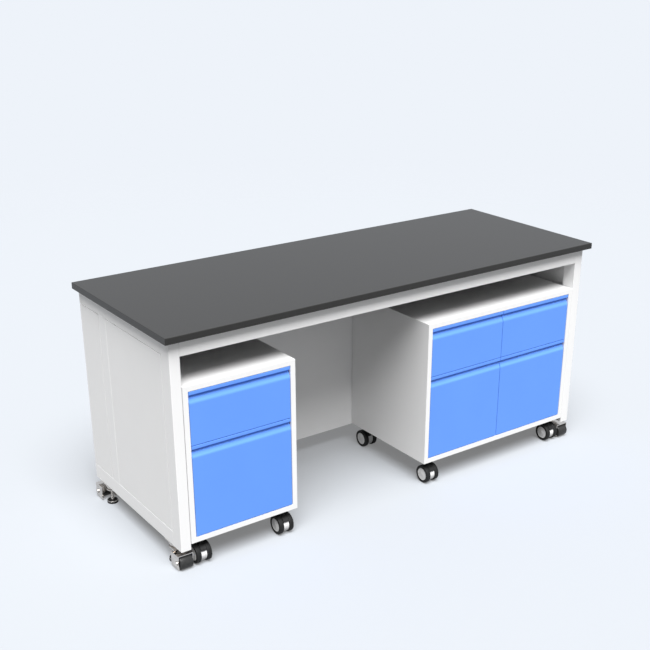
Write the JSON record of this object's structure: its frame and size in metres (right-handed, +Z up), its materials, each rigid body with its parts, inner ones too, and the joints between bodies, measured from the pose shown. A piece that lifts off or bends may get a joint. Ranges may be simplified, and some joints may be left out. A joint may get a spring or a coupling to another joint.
{
  "type": "laboratory workbench",
  "caption": "Laboratory workbench: dark slab top on a white tube frame with panelled ends and levelling casters, and rolling pedestals with blue drawers in its kneehole.",
  "frame": {"origin": "on the floor, under the middle of the worktop", "axes": "+X along the bench to the right as seen from its front, +Y from front to back, +Z up"},
  "size_m": [2, 0.75, 0.9],
  "materials": {
    "worktop_resin": "satin dark grey phenolic resin slab with a fine grain",
    "frame_white": "white powder coat",
    "panel_white": "white faced board",
    "carcass_white": "white faced board",
    "drawer_white": "white faced board",
    "front_blue": "satin blue lacquer on board",
    "plug_white": "white moulded plastic",
    "zinc_steel": "zinc plated steel",
    "chrome": "bright chrome plate",
    "roller_black": "black nylon",
    "caster_black": "black moulded plastic",
    "tyre_black": "black rubber tread"
  },
  "bodies": {
    "bench": {"worktop": "worktop_resin", "end_frame_left": "frame_white", "end_frame_right": "frame_white", "front_rail": "frame_white", "kneehole_rails": "frame_white", "rear_rails": "frame_white", "end_panels": "panel_white", "panel_cleats": "frame_white", "kneehole_panel": "panel_white", "frame_brackets": "zinc_steel", "frame_fasteners": "zinc_steel", "caster_mount_plates": "chrome", "tube_end_plugs": "plug_white"},
    "bench_caster_front_left_fork": {"bench_caster_front_left_fork": "chrome"},
    "bench_caster_front_left_roller": {"bench_caster_front_left_roller": "roller_black"},
    "bench_caster_front_left_foot": {"bench_caster_front_left_foot": "chrome"},
    "bench_caster_front_right_fork": {"bench_caster_front_right_fork": "chrome"},
    "bench_caster_front_right_roller": {"bench_caster_front_right_roller": "roller_black"},
    "bench_caster_front_right_foot": {"bench_caster_front_right_foot": "chrome"},
    "bench_caster_rear_left_fork": {"bench_caster_rear_left_fork": "chrome"},
    "bench_caster_rear_left_roller": {"bench_caster_rear_left_roller": "roller_black"},
    "bench_caster_rear_left_foot": {"bench_caster_rear_left_foot": "chrome"},
    "bench_caster_rear_right_fork": {"bench_caster_rear_right_fork": "chrome"},
    "bench_caster_rear_right_roller": {"bench_caster_rear_right_roller": "roller_black"},
    "bench_caster_rear_right_foot": {"bench_caster_rear_right_foot": "chrome"},
    "left_pedestal": {"left_pedestal_carcass": "carcass_white", "left_pedestal_back": "carcass_white", "left_pedestal_fittings": "zinc_steel"},
    "left_top_drawer": {"left_top_drawer_front": "front_blue", "left_top_drawer_box": "drawer_white"},
    "left_deep_drawer": {"left_deep_drawer_front": "front_blue", "left_deep_drawer_box": "drawer_white"},
    "left_caster_front_left_hood": {"left_caster_front_left_hood": "caster_black"},
    "left_caster_front_left_wheels": {"left_caster_front_left_wheels": "tyre_black"},
    "left_caster_front_right_hood": {"left_caster_front_right_hood": "caster_black"},
    "left_caster_front_right_wheels": {"left_caster_front_right_wheels": "tyre_black"},
    "left_caster_rear_left_hood": {"left_caster_rear_left_hood": "caster_black"},
    "left_caster_rear_left_wheels": {"left_caster_rear_left_wheels": "tyre_black"},
    "left_caster_rear_right_hood": {"left_caster_rear_right_hood": "caster_black"},
    "left_caster_rear_right_wheels": {"left_caster_rear_right_wheels": "tyre_black"},
    "right_pedestal": {"right_pedestal_carcass": "carcass_white", "right_pedestal_back": "carcass_white", "right_pedestal_fittings": "zinc_steel", "right_pedestal_divider": "carcass_white"},
    "right_top_drawer_1": {"right_top_drawer_1_front": "front_blue", "right_top_drawer_1_box": "drawer_white"},
    "right_deep_drawer_1": {"right_deep_drawer_1_front": "front_blue", "right_deep_drawer_1_box": "drawer_white"},
    "right_top_drawer_2": {"right_top_drawer_2_front": "front_blue", "right_top_drawer_2_box": "drawer_white"},
    "right_deep_drawer_2": {"right_deep_drawer_2_front": "front_blue", "right_deep_drawer_2_box": "drawer_white"},
    "right_caster_front_left_hood": {"right_caster_front_left_hood": "caster_black"},
    "right_caster_front_left_wheels": {"right_caster_front_left_wheels": "tyre_black"},
    "right_caster_front_right_hood": {"right_caster_front_right_hood": "caster_black"},
    "right_caster_front_right_wheels": {"right_caster_front_right_wheels": "tyre_black"},
    "right_caster_rear_left_hood": {"right_caster_rear_left_hood": "caster_black"},
    "right_caster_rear_left_wheels": {"right_caster_rear_left_wheels": "tyre_black"},
    "right_caster_rear_right_hood": {"right_caster_rear_right_hood": "caster_black"},
    "right_caster_rear_right_wheels": {"right_caster_rear_right_wheels": "tyre_black"}
  },
  "joints": [
    {"name": "bench_caster_front_left_swivel", "type": "hinge", "parent": "bench", "child": "bench_caster_front_left_fork", "pos_m": [-0.957, -0.255, 0.06], "axis": [0, 0, -1], "range_deg": [0, 180]},
    {"name": "bench_caster_front_left_roll", "type": "hinge", "parent": "bench_caster_front_left_fork", "child": "bench_caster_front_left_roller", "pos_m": [-0.957, -0.325, 0.027], "axis": [1, 0, 0], "continuous": true},
    {"name": "bench_caster_front_left_level", "type": "slide", "parent": "bench", "child": "bench_caster_front_left_foot", "axis": [0, 0, 1], "range_m": [0, 0.012]},
    {"name": "bench_caster_front_right_swivel", "type": "hinge", "parent": "bench", "child": "bench_caster_front_right_fork", "pos_m": [0.957, -0.255, 0.06], "axis": [0, 0, 1], "range_deg": [0, 180]},
    {"name": "bench_caster_front_right_roll", "type": "hinge", "parent": "bench_caster_front_right_fork", "child": "bench_caster_front_right_roller", "pos_m": [0.957, -0.325, 0.027], "axis": [1, 0, 0], "continuous": true},
    {"name": "bench_caster_front_right_level", "type": "slide", "parent": "bench", "child": "bench_caster_front_right_foot", "axis": [0, 0, 1], "range_m": [0, 0.012]},
    {"name": "bench_caster_rear_left_swivel", "type": "hinge", "parent": "bench", "child": "bench_caster_rear_left_fork", "pos_m": [-0.957, 0.2775, 0.06], "axis": [0, 0, 1], "continuous": true},
    {"name": "bench_caster_rear_left_roll", "type": "hinge", "parent": "bench_caster_rear_left_fork", "child": "bench_caster_rear_left_roller", "pos_m": [-0.957, 0.3475, 0.027], "axis": [1, 0, 0], "continuous": true},
    {"name": "bench_caster_rear_left_level", "type": "slide", "parent": "bench", "child": "bench_caster_rear_left_foot", "axis": [0, 0, 1], "range_m": [0, 0.012]},
    {"name": "bench_caster_rear_right_swivel", "type": "hinge", "parent": "bench", "child": "bench_caster_rear_right_fork", "pos_m": [0.957, 0.2775, 0.06], "axis": [0, 0, 1], "continuous": true},
    {"name": "bench_caster_rear_right_roll", "type": "hinge", "parent": "bench_caster_rear_right_fork", "child": "bench_caster_rear_right_roller", "pos_m": [0.957, 0.3475, 0.027], "axis": [1, 0, 0], "continuous": true},
    {"name": "bench_caster_rear_right_level", "type": "slide", "parent": "bench", "child": "bench_caster_rear_right_foot", "axis": [0, 0, 1], "range_m": [0, 0.012]},
    {"name": "left_pedestal_roll_out", "type": "slide", "parent": "bench", "child": "left_pedestal", "axis": [0, -1, 0], "range_m": [0, 0.6]},
    {"name": "left_top_drawer_slide", "type": "slide", "parent": "left_pedestal", "child": "left_top_drawer", "axis": [0, -1, 0], "range_m": [0, 0.33]},
    {"name": "left_deep_drawer_slide", "type": "slide", "parent": "left_pedestal", "child": "left_deep_drawer", "axis": [0, -1, 0], "range_m": [0, 0.33]},
    {"name": "left_caster_front_left_swivel", "type": "hinge", "parent": "left_pedestal", "child": "left_caster_front_left_hood", "pos_m": [-0.886, -0.297, 0.08], "axis": [0, 0, 1], "range_deg": [0, 180]},
    {"name": "left_caster_front_left_roll", "type": "hinge", "parent": "left_caster_front_left_hood", "child": "left_caster_front_left_wheels", "pos_m": [-0.886, -0.315, 0.0375], "axis": [1, 0, 0], "continuous": true},
    {"name": "left_caster_front_right_swivel", "type": "hinge", "parent": "left_pedestal", "child": "left_caster_front_right_hood", "pos_m": [-0.532, -0.297, 0.08], "axis": [0, 0, 1], "continuous": true},
    {"name": "left_caster_front_right_roll", "type": "hinge", "parent": "left_caster_front_right_hood", "child": "left_caster_front_right_wheels", "pos_m": [-0.532, -0.315, 0.0375], "axis": [1, 0, 0], "continuous": true},
    {"name": "left_caster_rear_left_swivel", "type": "hinge", "parent": "left_pedestal", "child": "left_caster_rear_left_hood", "pos_m": [-0.886, 0.087, 0.08], "axis": [0, 0, 1], "continuous": true},
    {"name": "left_caster_rear_left_roll", "type": "hinge", "parent": "left_caster_rear_left_hood", "child": "left_caster_rear_left_wheels", "pos_m": [-0.886, 0.105, 0.0375], "axis": [1, 0, 0], "continuous": true},
    {"name": "left_caster_rear_right_swivel", "type": "hinge", "parent": "left_pedestal", "child": "left_caster_rear_right_hood", "pos_m": [-0.532, 0.087, 0.08], "axis": [0, 0, 1], "continuous": true},
    {"name": "left_caster_rear_right_roll", "type": "hinge", "parent": "left_caster_rear_right_hood", "child": "left_caster_rear_right_wheels", "pos_m": [-0.532, 0.105, 0.0375], "axis": [1, 0, 0], "continuous": true},
    {"name": "right_pedestal_roll_out", "type": "slide", "parent": "bench", "child": "right_pedestal", "axis": [0, -1, 0], "range_m": [0, 0.6]},
    {"name": "right_top_drawer_1_slide", "type": "slide", "parent": "right_pedestal", "child": "right_top_drawer_1", "axis": [0, -1, 0], "range_m": [0, 0.33]},
    {"name": "right_deep_drawer_1_slide", "type": "slide", "parent": "right_pedestal", "child": "right_deep_drawer_1", "axis": [0, -1, 0], "range_m": [0, 0.33]},
    {"name": "right_top_drawer_2_slide", "type": "slide", "parent": "right_pedestal", "child": "right_top_drawer_2", "axis": [0, -1, 0], "range_m": [0, 0.33]},
    {"name": "right_deep_drawer_2_slide", "type": "slide", "parent": "right_pedestal", "child": "right_deep_drawer_2", "axis": [0, -1, 0], "range_m": [0, 0.33]},
    {"name": "right_caster_front_left_swivel", "type": "hinge", "parent": "right_pedestal", "child": "right_caster_front_left_hood", "pos_m": [0.188, -0.297, 0.08], "axis": [0, 0, 1], "continuous": true},
    {"name": "right_caster_front_left_roll", "type": "hinge", "parent": "right_caster_front_left_hood", "child": "right_caster_front_left_wheels", "pos_m": [0.188, -0.315, 0.0375], "axis": [1, 0, 0], "continuous": true},
    {"name": "right_caster_front_right_swivel", "type": "hinge", "parent": "right_pedestal", "child": "right_caster_front_right_hood", "pos_m": [0.886, -0.297, 0.08], "axis": [0, 0, -1], "range_deg": [0, 180]},
    {"name": "right_caster_front_right_roll", "type": "hinge", "parent": "right_caster_front_right_hood", "child": "right_caster_front_right_wheels", "pos_m": [0.886, -0.315, 0.0375], "axis": [1, 0, 0], "continuous": true},
    {"name": "right_caster_rear_left_swivel", "type": "hinge", "parent": "right_pedestal", "child": "right_caster_rear_left_hood", "pos_m": [0.188, 0.087, 0.08], "axis": [0, 0, 1], "continuous": true},
    {"name": "right_caster_rear_left_roll", "type": "hinge", "parent": "right_caster_rear_left_hood", "child": "right_caster_rear_left_wheels", "pos_m": [0.188, 0.105, 0.0375], "axis": [1, 0, 0], "continuous": true},
    {"name": "right_caster_rear_right_swivel", "type": "hinge", "parent": "right_pedestal", "child": "right_caster_rear_right_hood", "pos_m": [0.886, 0.087, 0.08], "axis": [0, 0, 1], "continuous": true},
    {"name": "right_caster_rear_right_roll", "type": "hinge", "parent": "right_caster_rear_right_hood", "child": "right_caster_rear_right_wheels", "pos_m": [0.886, 0.105, 0.0375], "axis": [1, 0, 0], "continuous": true}
  ]
}
